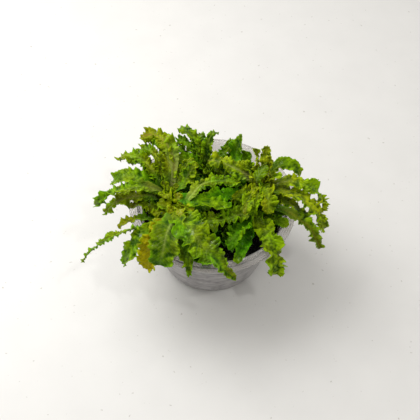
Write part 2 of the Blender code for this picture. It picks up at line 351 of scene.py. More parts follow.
scatter = random.Random(7)
bpy.ops.mesh.primitive_ico_sphere_add(subdivisions=1, radius=GRAIN_RADIUS * MM)
grains = bpy.context.object
grains.name = "substrate_grains"
grain_corners = [vertex.co.copy() for vertex in grains.data.vertices]
grain_sides = [tuple(face.vertices) for face in grains.data.polygons]
grain_points = []
grain_faces = []
for grain in range(GRAIN_COUNT):
    reach = BED_RADIUS * math.sqrt(scatter.random())
    bearing = scatter.random() * math.tau
    x, y = reach * math.cos(bearing), reach * math.sin(bearing)
    centre = Vector((x, y, bed_height(x, y) + scatter.uniform(-0.3, 0.7))) * MM
    size = scatter.uniform(0.55, 1.3)
    first = len(grain_points)
    grain_points += [centre + corner * size * scatter.uniform(0.72, 1.2) for corner in grain_corners]
    grain_faces += [tuple(first + corner for corner in side) for side in grain_sides]
grains.data.clear_geometry()
grains.data.from_pydata(grain_points, [], grain_faces)
grains.data.materials.append(substrate_finish)
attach(grains, "root")


# The crown stems.
# Each plant stands on a short thick stem, ringed where its leaves leave it. The stem grows from
# the bed, narrows upwards and ends in a soft tip inside the youngest leaves.
STEM_RADIUS = 2.6
STEM_SIDES = 16
STEM_SINK = 3
STEM_RINGS = 9
STEM_RING_SWELL = 0.10
STEM_NARROWING = 0.42
STEM_TIP_SHARE = 0.45
STEMS = {
    "left": (-22, -16, 70),
    "rear_left": (-30, 1, 68),
    "rear": (-4, 25, 64),
    "right": (34, 9, 71),
    "front": (26, -5, 64),
}

stem_finish = bpy.data.materials.new("olive_stem")
stem_finish.use_nodes = True
stem_nodes = stem_finish.node_tree.nodes
stem_links = stem_finish.node_tree.links
stem_surface = stem_nodes["Principled BSDF"]
stem_place = stem_nodes.new("ShaderNodeTexCoord")
stem_noise = stem_nodes.new("ShaderNodeTexNoise")
stem_noise.inputs["Scale"].default_value = 300
stem_ramp = stem_nodes.new("ShaderNodeValToRGB")
stem_ramp.color_ramp.elements[0].position = 0.35
stem_ramp.color_ramp.elements[0].color = (0.055, 0.085, 0.012, 1)
stem_ramp.color_ramp.elements[1].position = 0.7
stem_ramp.color_ramp.elements[1].color = (0.19, 0.21, 0.05, 1)
stem_links.new(stem_place.outputs["Object"], stem_noise.inputs["Vector"])
stem_links.new(stem_noise.outputs["Fac"], stem_ramp.inputs["Fac"])
stem_links.new(stem_ramp.outputs["Color"], stem_surface.inputs["Base Color"])
stem_surface.inputs["Roughness"].default_value = 0.42

for crown, (x, y, top) in STEMS.items():
    foot = BED_TOP - STEM_SINK
    bpy.ops.mesh.primitive_cylinder_add(
        vertices=STEM_SIDES,
        radius=STEM_RADIUS * MM,
        depth=(top - foot) * MM,
        location=(x * MM, y * MM, (top + foot) / 2 * MM),
    )
    stem = bpy.context.object
    stem.name = f"crown_stem_{crown}"
    bpy.ops.object.transform_apply(location=True, rotation=True, scale=True)
    bpy.ops.object.mode_set(mode="EDIT")
    bpy.ops.mesh.select_all(action="DESELECT")
    stem_form = bmesh.from_edit_mesh(stem.data)
    upright = [edge for edge in stem_form.edges if abs(edge.verts[0].co.z - edge.verts[1].co.z) > 1 * MM]
    bmesh.ops.subdivide_edges(stem_form, edges=upright, cuts=2 * STEM_RINGS - 1, use_grid_fill=True)
    for vertex in stem_form.verts:
        share = (vertex.co.z / MM - foot) / (top - foot)
        ring = 1 + STEM_RING_SWELL * math.cos(math.tau * share * STEM_RINGS)
        narrow = (1 - STEM_NARROWING * share) * ring
        if share > 0.999:
            narrow *= STEM_TIP_SHARE
        vertex.co.x = x * MM + (vertex.co.x - x * MM) * narrow
        vertex.co.y = y * MM + (vertex.co.y - y * MM) * narrow
    bmesh.update_edit_mesh(stem.data)
    bpy.ops.object.mode_set(mode="OBJECT")
    bpy.ops.object.shade_smooth_by_angle(angle=math.radians(50))
    stem.data.materials.append(stem_finish)
    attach(stem, "root")
    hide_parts(f"stem_{crown}")


# The leaf tissue.
# All the leaves share one pattern: mottled green, faint side veins, a pale midrib that fades to
# the tip, marks for yellow, brown and dark leaves, painted highlights on the crests, and painted
# shade deep in the plant. Each plant mixes its own greens from it.
tissue = bpy.data.node_groups.new("leaf_tissue", "ShaderNodeTree")
for label in ("Deep", "Light", "Rib", "Yellow", "Brown"):
    tissue.interface.new_socket(name=label, in_out="INPUT", socket_type="NodeSocketColor")
tissue.interface.new_socket(name="Color", in_out="OUTPUT", socket_type="NodeSocketColor")
tissue.interface.new_socket(name="Roughness", in_out="OUTPUT", socket_type="NodeSocketFloat")
tissue.interface.new_socket(name="Wet", in_out="OUTPUT", socket_type="NodeSocketFloat")
tissue.interface.new_socket(name="Height", in_out="OUTPUT", socket_type="NodeSocketFloat")
tissue_nodes = tissue.nodes
tissue_links = tissue.links


def tissue_math(operation, first, second, clamp=False):
    """A maths node in the tissue group. Its inputs are sockets or plain numbers."""
    node = tissue_nodes.new("ShaderNodeMath")
    node.operation = operation
    node.use_clamp = clamp
    for socket, value in zip(node.inputs, (first, second)):
        if isinstance(value, (int, float)):
            socket.default_value = value
        else:
            tissue_links.new(value, socket)
    return node.outputs["Value"]


def tissue_mix(share, under, over):
    """A colour mix in the tissue group, from under to over by share."""
    node = tissue_nodes.new("ShaderNodeMixRGB")
    tissue_links.new(share, node.inputs["Fac"])
    tissue_links.new(under, node.inputs["Color1"])
    tissue_links.new(over, node.inputs["Color2"])
    return node.outputs["Color"]


def tissue_mark(label):
    """A mark that each leaf's mesh carries on its points."""
    node = tissue_nodes.new("ShaderNodeAttribute")
    node.attribute_name = label
    return node.outputs["Fac"]


def tissue_noise(scale, detail):
    """A noise fixed in the object's space."""
    node = tissue_nodes.new("ShaderNodeTexNoise")
    node.inputs["Scale"].default_value = scale
    node.inputs["Detail"].default_value = detail
    tissue_links.new(tissue_place.outputs["Object"], node.inputs["Vector"])
    return node.outputs["Fac"]


tissue_in = tissue_nodes.new("NodeGroupInput")
tissue_out = tissue_nodes.new("NodeGroupOutput")
tissue_uv = tissue_nodes.new("ShaderNodeUVMap")
tissue_uv.uv_map = "blade"
tissue_split = tissue_nodes.new("ShaderNodeSeparateXYZ")
tissue_links.new(tissue_uv.outputs["UV"], tissue_split.inputs["Vector"])
tissue_place = tissue_nodes.new("ShaderNodeTexCoord")
mottle = tissue_noise(120, 2)
speckle = tissue_noise(1100, 2)
across = tissue_math("ABSOLUTE", tissue_split.outputs["X"], 0)
slant = tissue_math("SUBTRACT", tissue_split.outputs["Y"], tissue_math("MULTIPLY", across, 0.9))
# The side veins slant towards the tip, and the mottle bends each a little.
vein_run = tissue_math("MULTIPLY_ADD", slant, 3.6)
tissue_links.new(tissue_math("MULTIPLY", mottle, 0.5), vein_run.node.inputs[2])
vein_fold = tissue_math("PINGPONG", vein_run, 0.5)
vein = tissue_math("SUBTRACT", 1.0, tissue_math("MULTIPLY", vein_fold, 6), clamp=True)
margin = tissue_mark("margin")
vein_shown = tissue_math("MULTIPLY", vein, tissue_math("SUBTRACT", 0.8, margin, clamp=True))
mottle_share = tissue_math("MULTIPLY", tissue_math("SUBTRACT", mottle, 0.46), 1.3)
# The green is the leaf's own mottle plus painted light: lighter on crests, darker in valleys.
mottle_and_painted_light = tissue_math("ADD", mottle_share, tissue_mark("painted_fold_light"), clamp=True)
green = tissue_mix(mottle_and_painted_light, tissue_in.outputs["Deep"], tissue_in.outputs["Light"])
toned = tissue_mix(tissue_mark("yellow"), green, tissue_in.outputs["Yellow"])
# Dark leaves and blotches are darker; deep inside a plant the darkening is painted shade.
dark_tone_and_painted_shade = tissue_mix(tissue_mark("dark"), toned, tissue_in.outputs["Deep"])
edged = tissue_mix(tissue_math("MULTIPLY", margin, 0.65), dark_tone_and_painted_shade, tissue_in.outputs["Light"])
veined = tissue_mix(tissue_math("MULTIPLY", vein_shown, tissue_mark("vein")), edged, tissue_in.outputs["Rib"])
ribbed = tissue_mix(tissue_mark("rib"), veined, tissue_in.outputs["Rib"])
browned = tissue_mix(tissue_mark("brown"), ribbed, tissue_in.outputs["Brown"])
# Some leaves and patches are a purer, less yellow green; deep inside a plant the purer green is
# painted shade, and low over the bed painted shade makes it almost black.
pure_tone_and_painted_shade = tissue_nodes.new("ShaderNodeMixRGB")
pure_tone_and_painted_shade.blend_type = "MULTIPLY"
pure_tone_and_painted_shade.inputs["Color2"].default_value = (0.36, 0.92, 0.4, 1)
tissue_links.new(tissue_mark("pure"), pure_tone_and_painted_shade.inputs["Fac"])
tissue_links.new(browned, pure_tone_and_painted_shade.inputs["Color1"])
# Painted shade: low over the bed the colour is multiplied towards black.
painted_shade = tissue_nodes.new("ShaderNodeMixRGB")
painted_shade.blend_type = "MULTIPLY"
painted_shade.inputs["Color2"].default_value = (0.06, 0.16, 0.08, 1)
tissue_links.new(tissue_mark("shade"), painted_shade.inputs["Fac"])
tissue_links.new(pure_tone_and_painted_shade.outputs["Color"], painted_shade.inputs["Color1"])
tissue_links.new(painted_shade.outputs["Color"], tissue_out.inputs["Color"])
gloss = tissue_math("ADD", 0.2, tissue_math("MULTIPLY", mottle, 0.34))
tissue_links.new(gloss, tissue_out.inputs["Roughness"])
wet = tissue_math("MULTIPLY", tissue_math("SUBTRACT", tissue_noise(160, 2), 0.60), 9, clamp=True)
tissue_links.new(wet, tissue_out.inputs["Wet"])
crinkle = tissue_math("ADD", tissue_math("MULTIPLY", tissue_noise(340, 2), 1.4), tissue_math("MULTIPLY", speckle, 0.25))
relief = tissue_math("SUBTRACT", crinkle, tissue_math("MULTIPLY", vein_shown, 0.7))
tissue_links.new(relief, tissue_out.inputs["Height"])


def leaf_finish(name, deep, light, rib_colour, yellow, brown):
    """One plant's leaf material, mixed from the shared tissue."""
    finish = bpy.data.materials.new(name)
    finish.use_nodes = True
    nodes = finish.node_tree.nodes
    links = finish.node_tree.links
    surface = nodes["Principled BSDF"]
    pattern = nodes.new("ShaderNodeGroup")
    pattern.node_tree = tissue
    for label, colour in (("Deep", deep), ("Light", light), ("Rib", rib_colour), ("Yellow", yellow), ("Brown", brown)):
        pattern.inputs[label].default_value = (*colour, 1)
    relief_bump = nodes.new("ShaderNodeBump")
    relief_bump.inputs["Strength"].default_value = 0.8
    relief_bump.inputs["Distance"].default_value = 0.0005
    links.new(pattern.outputs["Color"], surface.inputs["Base Color"])
    links.new(pattern.outputs["Roughness"], surface.inputs["Roughness"])
    links.new(pattern.outputs["Height"], relief_bump.inputs["Height"])
    links.new(relief_bump.outputs["Normal"], surface.inputs["Normal"])
    links.new(pattern.outputs["Wet"], surface.inputs["Coat Weight"])
    surface.inputs["Coat Roughness"].default_value = 0.05
    surface.inputs["Coat IOR"].default_value = 1.33
    surface.inputs["Specular IOR Level"].default_value = 0.22
    surface.inputs["Specular Tint"].default_value = (0.9, 1.0, 0.12, 1)
    surface.inputs["Subsurface Weight"].default_value = 0.10
    surface.inputs["Subsurface Radius"].default_value = (0.6, 1.0, 0.1)
    surface.inputs["Subsurface Scale"].default_value = 0.0005
    return finish


# The left plant.
# Every leaf is one strap of thin tissue: a broad smooth stalk opens into a blade with a groove
# down its midrib, and the margin is longer than the blade, so it ruffles and shows its teeth.
LEAF_GAP = 0.3
LEAF_ACROSS = 26
LEAF_STEP = 0.38
LEAF_FILM = 0.34
SOLID_STEPS = 12
CHANNEL = math.tan(math.radians(10))
WAVE = 6.0
FRILL = 2.6
TOOTH = 1.8
TOOTH_REACH = 1.1
TOOTH_LEAN = 0.7
RUFFLE_HEIGHT = 0.22
FRILL_HEIGHT = 0.7
PUCKER_HEIGHT = 1.3
GROOVE_DEPTH = 0.45
GROOVE_HALF = 0.75
BROADENING = 0.35
TWIST = 0.85
SWAY = 1.5
LEAF_MARKS = ("rib", "margin", "yellow", "brown", "dark", "pure", "painted_fold_light", "vein", "shade")


def leaf_look(ruffle, lobes, teeth, stalk, opens_at, blunt=0.84, **tones):
    """One kind of leaf: how its margin runs, its outline, and how strong each of its tones is, painted light among
    them.
    """
    look = {"ruffle": ruffle, "lobes": lobes, "teeth": teeth, "stalk": stalk, "open": opens_at, "blunt": blunt}
    for tone in ("rib", "vein", "yellow", "brown", "dark", "lit", "pure"):
        look[tone] = tones.get(tone, 0)
    return look


# Ruffle, lobes and teeth of the margin, the stalk's width, and the share where the blade is open.
# The tone that lightens a whole leaf is painted light; the sunlit, smooth and bright looks carry most of it.
LOOKS = {
    "fresh": leaf_look(0.95, 0.35, 0.75, 4.4, 0.46, rib=0.25, vein=0.15, yellow=0.15),
    "sunlit": leaf_look(0.95, 0.35, 0.75, 4.4, 0.46, rib=0.15, vein=0.15, yellow=0.12, dark=-0.5, lit=0.2),
    "strap": leaf_look(0.38, 0.06, 0.25, 8.4, 0.5, blunt=0.78, rib=0.3, vein=0.05, dark=0.1, lit=0.1, pure=0.3),
    "tapered": leaf_look(
        0.85, 0.35, 0.75, 5.0, 0.36, blunt=0.62, rib=0.15, vein=0.15, yellow=0.1, dark=0.18, lit=0.05, pure=0.12
    ),
    "fresh_ribbed": leaf_look(0.9, 0.35, 0.75, 4.4, 0.46, rib=1.1, vein=0.15, yellow=0.15, brown=0.3),
    "frilled": leaf_look(1.3, 0.42, 0.85, 3.4, 0.4, rib=0.2, vein=0.1, yellow=0.45),
    "smooth": leaf_look(0.55, 0.11, 0.5, 7.4, 0.5, rib=0.06, vein=0.05, dark=0.05, lit=0.15),
    "broad": leaf_look(0.45, 0.2, 0.8, 5.0, 0.36, blunt=0.93, rib=0.85, vein=0.15, dark=0.32, pure=0.28),
    "bright": leaf_look(0.5, 0.15, 0.5, 7.0, 0.5, rib=0.05, yellow=-0.3, dark=-0.4, lit=0.14, pure=0.3),
    # The dark look, which the inner and low leaves take, is painted shade.
    "dark": leaf_look(0.6, 0.26, 0.7, 3.6, 0.42, rib=0.1, vein=0.1, dark=0.75),
    "stalked_dark": leaf_look(0.8, 0.26, 0.7, 5.6, 0.7, rib=0.1, vein=0.1, yellow=0.3, brown=0.3, dark=0.45),
    "pale_crinkled": leaf_look(1.2, 0.42, 1.0, 3.6, 0.4, rib=0.6, vein=0.3, yellow=0.35),
    "yellowed": leaf_look(0.9, 0.29, 0.9, 4.4, 0.46, rib=0.15, vein=0.1, yellow=1.2, brown=0.1, pure=-1.0),
    "brown_ribbed": leaf_look(1.0, 0.35, 0.9, 4.4, 0.46, rib=0.5, vein=0.1, yellow=0.35, brown=0.35, pure=-0.15),
    "long_stalked": leaf_look(1.3, 0.4, 1.0, 3.8, 0.6, rib=0.9, vein=0.1, yellow=0.6, brown=0.7),
    "pale_ribbed": leaf_look(1.25, 0.35, 0.9, 3.0, 0.5, rib=0.8, vein=0.15, yellow=0.25),
    "veined": leaf_look(0.8, 0.42, 0.8, 3.0, 0.3, rib=1.0, vein=1.0, yellow=0.4),
    "olive": leaf_look(0.9, 0.35, 0.7, 4.8, 0.46, rib=0.3, vein=0.1, yellow=0.6, brown=0.1, dark=0.05, pure=-0.2),
    "young": leaf_look(1.2, 0.42, 0.9, 2.4, 0.4, rib=0.3, vein=0.2, yellow=0.5, pure=-0.3),
}


def soft_step(value, low, high):
    """Rises smoothly from 0 at low to 1 at high."""
    share = min(max((value - low) / (high - low), 0), 1)
    return share * share * (3 - 2 * share)


def blade_half(share, width, look):
    """Half the leaf's width at a share of its length: stalk, strap and blunt tip."""
    stalk_half = min(look["stalk"] / 2, width * 0.4)
    tip = math.sqrt(max(1 - (max(share - look["blunt"], 0) / (1.005 - look["blunt"])) ** 2, 0.003))
    opening = soft_step(share, look["open"] - 0.36, look["open"])
    taper = 1 - 1.6 * (0.95 - look["blunt"]) * soft_step(share, 0.5, 1.0)
    return (stalk_half + (width / 2 - stalk_half) * opening) * taper * tip


def midrib(crown, lie, rows):
    """Points down the midrib in millimetres, with the blade's side and normal directions.

    A lie is the leaf's height on the stem, its heading there, the swing of that heading, its rise
    at the stem and at the tip, how late it bends, its length, its width and its roll."""
    on_stem, heading, swing, rise, end, bend, length, _, roll = lie
    x, y, _ = STEMS[crown]
    start = Vector((math.cos(math.radians(heading)), math.sin(math.radians(heading)), 0))
    point = Vector((x, y, on_stem)) + start * (STEM_RADIUS * 0.8)
    course = []
    # The solid leaf steps on from each station's start, so it runs half a step behind the curve.
    lag = 0.5 / SOLID_STEPS
    for row in range(rows + 1):
        share = row / rows
        behind = max(share - lag, 0)
        turn = math.radians(heading + swing * behind)
        pitch = math.radians(rise + (end - rise) * behind**bend)
        along = Vector((math.cos(pitch) * math.cos(turn), math.cos(pitch) * math.sin(turn), math.sin(pitch)))
        level = Vector((-math.sin(turn), math.cos(turn), 0))
        up = along.cross(level)
        side = level * math.cos(math.radians(roll)) + up * math.sin(math.radians(roll))
        course.append((point.copy(), along, side, along.cross(side)))
        point += along * ((length + LEAF_GAP) / rows)
    return course


def margin_course(rows, length, look, seed, flank):
    """How one margin runs, row by row: its ruffle, its frill, its teeth and its notches."""
    course = []
    for row in range(rows + 1):
        run = row / rows * length
        opened = soft_step(row / rows, look["open"] - 0.26, look["open"])
        slow = noise.noise(Vector((run * 0.10, flank * 7.3, seed * 3.1)))
        quick = noise.noise(Vector((run * 0.37, flank * 5.1, seed * 4.7)))
        nip = noise.noise(Vector((run * 0.19, flank * 9.7, seed * 1.9)))
        wave = math.sin(math.tau * (run / WAVE + 1.8 * slow + flank * 0.37 + seed * 0.61))
        ruffle = look["ruffle"] * opened * ((0.6 + 1.2 * slow) * wave + 1.9 * quick)
        frill = look["ruffle"] * opened * math.sin(math.tau * (run / FRILL + 1.3 * quick + seed * 0.17))
        saw = (run / TOOTH + 1.9 * quick + flank * 0.4 + seed * 0.29) % 1.0
        tooth = look["teeth"] * opened * (0.35 + 1.3 * max(slow + 0.5 * quick + 0.1, 0)) * saw**1.4
        notch = look["lobes"] * opened * soft_step(1 - 3.4 * abs(nip), 0.2, 1.0)
        course.append((ruffle, frill, tooth, notch))
    return course


def grow_leaf(name, crown, lie, look, seed):
    """Grows one leaf from a flat grid whose rows follow the midrib."""
    length, width = lie[6], lie[7]
    rows = max(int(length / LEAF_STEP), 28)
    bpy.ops.mesh.primitive_grid_add(x_subdivisions=LEAF_ACROSS, y_subdivisions=rows, size=1)
    blade = bpy.context.object
    blade.name = name
    blade.data.name = name
    course = midrib(crown, lie, rows)
    margins = [margin_course(rows, length, look, seed, flank) for flank in (1, 2)]
    marks = {label: [] for label in LEAF_MARKS}
    flat_places = []
    for vertex in blade.data.vertices:
        signed = 2 * vertex.co.x
        edge = abs(signed)
        share = vertex.co.y + 0.5
        row = round(share * rows)
        run = share * length
        point, along, side, normal = course[row]
        ruffle, frill, tooth, notch = margins[0 if signed > 0 else 1][row]
        opened = soft_step(share, look["open"] - 0.26, look["open"])
        swell = noise.noise(Vector((run * 0.11, 3.3, seed * 5.9)))
        half = blade_half(share, width, look) * (1 + BROADENING * opened * swell)
        inward = edge * half
        # The point's place: out from the midrib, and lifted by the channel, folds and puckers.
        pucker = noise.noise(Vector((run * 0.30, signed * half * 0.34, seed * 1.3)))
        pucker += 0.6 * noise.noise(Vector((run * 0.72, signed * half * 0.8, seed * 2.7)))
        toothed = tooth * soft_step(edge, 0.66, 1.0)
        reach = inward * (1 - notch * edge) + TOOTH_REACH * toothed
        lift = CHANNEL * inward * edge**0.6
        fold = RUFFLE_HEIGHT * min(width, 11) * ruffle * edge**2.4 + FRILL_HEIGHT * frill * edge**3.5
        lift += fold
        lift += PUCKER_HEIGHT * look["ruffle"] * opened * pucker * soft_step(edge, 0.05, 0.35)
        lift -= GROOVE_DEPTH * math.exp(-((inward / GROOVE_HALF) ** 2)) * (1 - 0.6 * opened)
        turned = TWIST * opened * noise.noise(Vector((run * 0.08, seed * 8.3, 0)))
        sideways = SWAY * opened * noise.noise(Vector((run * 0.06, seed * 6.1, 4.0)))
        upwards = SWAY * opened * noise.noise(Vector((run * 0.09, seed * 3.7, 9.0)))
        out = side * math.cos(turned) + normal * math.sin(turned)
        over = normal * math.cos(turned) - side * math.sin(turned)
        place = point + out * math.copysign(reach, signed) + over * lift + along * (TOOTH_LEAN * toothed)
        place += side * sideways + normal * upwards
        vertex.co = place * MM
        flat_places.append((signed * half * 0.1, run * 0.1))
        # The point's tones: painted highlights on crests, and painted shade, darker and purer, deep inside the plant.
        blotch = noise.noise(Vector((run * 0.09, signed * 1.3, seed * 2.3)))
        rib = math.exp(-((inward / (0.4 + 0.02 * width)) ** 2)) * (1 - 0.85 * share)
        stalk_pale = 0.5 * look["rib"] * (1 - opened)
        midrib_brown = math.exp(-((inward / 1.0) ** 2)) * soft_step(share, 0.05, 0.3)
        # Painted light: crests of folds and puckers, and the margins, are lighter and the valleys darker.
        painted_fold_light = (
            look["lit"]
            + 0.22
            + 0.2 * soft_step(edge, 0.4, 1.0)
            + 0.62 * fold
            + 1.3 * look["ruffle"] * opened * pucker
        )
        marks["painted_fold_light"].append(min(max(painted_fold_light, 0), 1))
        marks["rib"].append(min(look["rib"] * rib + stalk_pale, 1))
        marks["vein"].append(look["vein"])
        # Painted shade: low points inside the tub sink towards black.
        marks["shade"].append(1 - soft_step(place.z, 50, 62) if place.xy.length < 56 else 0)
        marks["margin"].append(soft_step(edge, 0.72, 1.0) * opened)
        marks["yellow"].append(min(max(look["yellow"] + 0.5 * blotch, 0), 1))
        marks["brown"].append(min(max(look["brown"] * (midrib_brown + 0.3 * blotch), 0), 1))
        # Painted shade: the lower a point lies inside the tub, the darker and purer its green.
        inner = (1 - soft_step(place.z, 55, 82)) * (1 - soft_step(place.xy.length, 48, 62))
        hue = noise.noise(place * 0.055 + Vector((seed * 5.3, 0, 0)))
        marks["pure"].append(min(max(look["pure"] + 0.1 + min(1.1 * hue, 0.38) + 0.9 * inner, 0), 1))
        marks["dark"].append(min(max(look["dark"] + 0.4 * blotch + 0.62 * inner, 0), 1))
    for label, values in marks.items():
        blade.data.attributes.new(label, "FLOAT", "POINT").data.foreach_set("value", values)
    layer = blade.data.uv_layers.active
    layer.name = "blade"
    for loop in blade.data.loops:
        layer.uv[loop.index].vector = flat_places[loop.vertex_index]
    film_wall = blade.modifiers.new("tissue", "SOLIDIFY")
    film_wall.thickness = LEAF_FILM * MM
    film_wall.offset = 0
    apply_all(blade)
    blade.data.shade_smooth()
    return blade


def grow_plant(crown, leaves, finish):
    """Grows a plant's leaves. A row has the leaf's name, its look, its solid's nine values and how
    much broader than the solid its ruffled blade is."""
    for number, (place, look, *values) in enumerate(leaves):
        *lie, broad = values
        lie[7] *= broad
        blade = grow_leaf(f"blade_{crown}_{place}", crown, lie, LOOKS[look], number * 1.7 + len(crown))
        blade.data.materials.append(finish)
        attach(blade, "root")
        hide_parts(f"leaf_{crown}_{place}")


def grow_side_leaves(crown, leaves, finish):
    """Grows leaves that have no solid of their own, as one piece. A row is a look and nine values."""
    blades = []
    for number, (look, *lie) in enumerate(leaves):
        blades.append(grow_leaf(f"side_{crown}_{number}", crown, lie, LOOKS[look], number * 2.1 + 0.7))
    join_leaves(blades, f"side_leaves_{crown}", finish)


BUD_COUNT = 5


def grow_tuft(crown, count, finish, seed):
    """Grows the small leaves round a stem's tip, youngest and steepest at the top, and the curled
    buds that close over it, as one piece."""
    chance = random.Random(seed)
    top = STEMS[crown][2]
    blades = []
    for number in range(count):
        age = 1 - number / count
        heading = 137.5 * number + chance.uniform(-20, 20)
        rise = 82 - 34 * age + chance.uniform(-8, 8)
        length = 7 + 11 * age + chance.uniform(-1, 2)
        swing = chance.uniform(-30, 30)
        lie = [top - 1 - 9 * age, heading, swing, rise, rise - 60 * age - 20, 1.2, length, 4.5 + 3 * age, 0]
        blades.append(grow_leaf(f"young_{crown}_{number}", crown, lie, LOOKS["young"], seed + number * 2.3))
    for number in range(BUD_COUNT):
        lie = [top - 2, 360 / BUD_COUNT * number + seed, 20, 70, 150, 0.8, 7 + 0.5 * number, 4.5, 0]
        blades.append(grow_leaf(f"bud_{crown}_{number}", crown, lie, LOOKS["young"], seed + number * 1.1))
    join_leaves(blades, f"young_leaves_{crown}", finish)


# How far from the tub's axis the low leaves reach.
LOW_REACH = 44


def grow_skirt(crown, count, finish, seed):
    """Grows the low leaves under a plant, which stay inside the tub, as one piece."""
    chance = random.Random(seed)
    x, y, _ = STEMS[crown]
    blades = []
    for number in range(count):
        heading = 360 / count * number + chance.uniform(-14, 14)
        ahead = Vector((math.cos(math.radians(heading)), math.sin(math.radians(heading))))
        offset = Vector((x, y)).dot(ahead)
        free = -offset + math.sqrt(offset**2 + LOW_REACH**2 - x * x - y * y)
        length = min(chance.uniform(24, 36), free * 1.1)
        if length < 9:
            continue
        lie = [chance.uniform(47, 55), heading, chance.uniform(-40, 40), chance.uniform(25, 50), -15, 1.0, length, 9, 0]
        # Painted shade: most low leaves take the dark look.
        look = LOOKS[chance.choice(("dark", "dark", "fresh"))]
        blades.append(grow_leaf(f"low_{crown}_{number}", crown, lie, look, seed + number * 2.9))
    join_leaves(blades, f"low_leaves_{crown}", finish)


def join_leaves(blades, name, finish):
    """Joins small leaves of one plant into one piece that rides with it."""
    bpy.ops.object.select_all(action="DESELECT")
    for blade in blades:
        blade.select_set(True)
    bpy.context.view_layer.objects.active = blades[0]
    bpy.ops.object.join()
    bunch = bpy.context.object
    bunch.name = name
    bunch.data.name = name
    bunch.data.materials.append(finish)
    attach(bunch, "root")


left_finish = leaf_finish(
    "left_leaf_tissue",
    deep=(0.010, 0.056, 0.001),
    light=(0.245, 0.385, 0.002),
    rib_colour=(0.40, 0.47, 0.10),
    yellow=(0.340, 0.300, 0.002),
    brown=(0.165, 0.125, 0.005),
)
LEFT_LEAVES = [
    ("over_front", "broad", 66, -105, 2, 60, -76, 1.1, 53, 17, 0, 1.1),
    ("yellow", "yellowed", 62, -119, 4, 62, -75, 0.9, 55, 14, 0, 1.3),
    ("long_front", "tapered", 69, -84, 64, 67, -48, 0.6, 77, 15, 0, 1.5),
    ("under_front", "tapered", 56, -82, 2, 62, -72, 1.2, 57, 10, 0, 1.5),
    ("edge_on", "fresh", 49, -154, 0, 46, -64, 1.3, 82, 7, 40, 1.0),
    ("curled", "smooth", 52, -139, 4, 50, -95, 1.6, 62, 9, 0, 1.5),
    ("ribbed", "pale_ribbed", 65, 45, -40, 80, -50, 0.9, 54, 12, 0, 0.85),
    ("lobe", "olive", 65, 168, 10, 64, -20, 1.2, 17, 9, 0, 1.1),
    ("inner", "dark", 52, 0, -70, 20, -5, 0.8, 39, 8, 0, 1.1),
    ("young_a", "young", 67, -20, 0, 80, 20, 1.0, 14, 6, 0, 1.2),
    ("young_b", "young", 66, 100, 0, 80, 20, 1.0, 14, 6, 0, 1.2),
    ("young_c", "young", 67, -150, 0, 76, 30, 1.0, 13, 6, 0, 1.2),
    ("olive", "olive", 57, -172, 2, 38, -36, 1.0, 44, 8, 0, 1.0),
]
grow_plant("left", LEFT_LEAVES, left_finish)
LEFT_SIDE_LEAVES = [
    ("frilled", 64, -70, 30, 66, -40, 0.9, 34, 9, 0),
    ("fresh", 60, -86, 58, 54, -54, 0.8, 50, 10, 0),
    ("veined", 69, -85, 0, 84, -30, 1.6, 20, 8, 0),
    ("frilled", 57, 170, 0, 50, -20, 1.0, 38, 10, 0),
    ("frilled", 62, -170, 10, 66, -10, 1.0, 22, 8, 0),
]
grow_side_leaves("left", LEFT_SIDE_LEAVES, left_finish)
grow_tuft("left", 8, left_finish, 11)
grow_skirt("left", 9, left_finish, 12)


# The plant at the rear left.
# Its long leaves arch out over the rim on the left, yellow-green with brownish midribs.
rear_left_finish = leaf_finish(
    "rear_left_leaf_tissue",
    deep=(0.014, 0.062, 0.001),
    light=(0.258, 0.385, 0.002),
    rib_colour=(0.40, 0.38, 0.14),
    yellow=(0.260, 0.285, 0.002),
    brown=(0.170, 0.125, 0.005),
)
REAR_LEFT_LEAVES = [
    ("brown_rib", "brown_ribbed", 56, -156, -16, 66, -75, 1.1, 57, 12, 0, 1.0),
    ("serrated", "fresh", 64, -161, -14, 70, -70, 0.9, 64, 10, 0, 1.05),
    ("smooth", "smooth", 58, 160, 16, 66, -72, 1.2, 53, 10, 0, 1.1),
    ("narrow", "frilled", 54, 126, 30, 70, -75, 1.3, 64, 9, 0, 1.1),
    ("far", "long_stalked", 62, 60, 115, 81, -50, 0.9, 67, 18, 0, 0.66),
    ("upright", "fresh", 67, 8, 50, 55, 35, 1.0, 29, 9, 0, 1.1),
    ("young_a", "young", 60, -50, 0, 78, 10, 1.0, 14, 6, 0, 1.2),
    ("inner", "dark", 57, 20, 10, 66, -10, 1.0, 30, 8, 0, 1.3),
    ("young_b", "young", 67, -105, 0, 70, 10, 1.0, 15, 8, 0, 1.2),
]
grow_plant("rear_left", REAR_LEFT_LEAVES, rear_left_finish)
REAR_LEFT_SIDE_LEAVES = [
    ("frilled", 60, 108, 30, 76, -75, 1.1, 58, 9, 0),
    ("frilled", 60, 88, 40, 80, -70, 1.3, 60, 9, 0),
    ("fresh", 58, 134, 10, 68, -60, 1.2, 48, 9, 0),
    ("frilled", 60, -178, -10, 66, -60, 1.0, 46, 8, 0),
    ("fresh", 62, 40, 20, 74, 10, 1.0, 32, 8, 0),
    ("bright", 66, -50, 62, 45, -14, 0.8, 50, 11, 0),
]
grow_side_leaves("rear_left", REAR_LEFT_SIDE_LEAVES, rear_left_finish)
grow_tuft("rear_left", 10, rear_left_finish, 21)
grow_skirt("rear_left", 9, rear_left_finish, 22)


